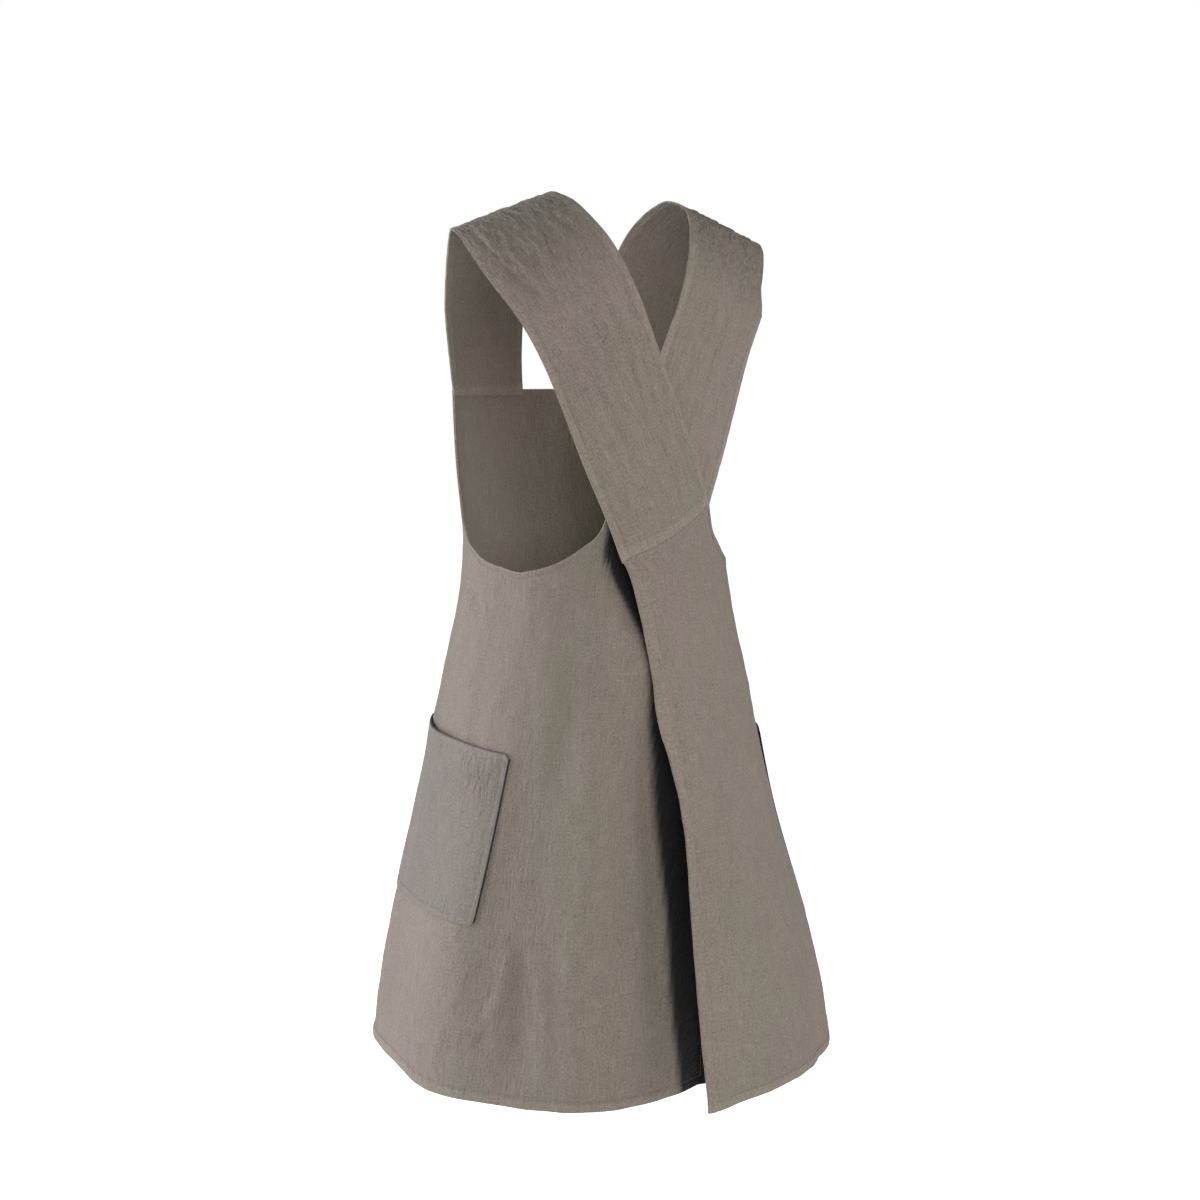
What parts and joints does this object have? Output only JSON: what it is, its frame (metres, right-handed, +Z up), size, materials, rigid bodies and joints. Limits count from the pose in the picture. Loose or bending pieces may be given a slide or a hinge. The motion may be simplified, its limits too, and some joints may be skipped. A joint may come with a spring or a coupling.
{
  "type": "cross back apron",
  "caption": "Full-length linen pinafore apron with wide straps that cross at the back, a flared wrap skirt that laps at the back, and patch pockets.",
  "frame": {"origin": "midway between the two shoulders, at the height where the straps sit on them", "axes": "+Z up the wearer's body, the wearer faces -Y, +X to the wearer's left"},
  "size_m": [0.5253, 0.455, 0.9949],
  "materials": {
    "linen": "matte taupe linen, plain weave",
    "strap_linen": "matte taupe linen, plain weave, softly crinkled",
    "pocket_linen": "matte taupe linen, plain weave, a shade lighter"
  },
  "bodies": {
    "root": {"body_panel": "linen", "left_strap": "strap_linen", "right_strap": "strap_linen", "left_pocket": "pocket_linen", "right_pocket": "pocket_linen"}
  },
  "joints": []
}
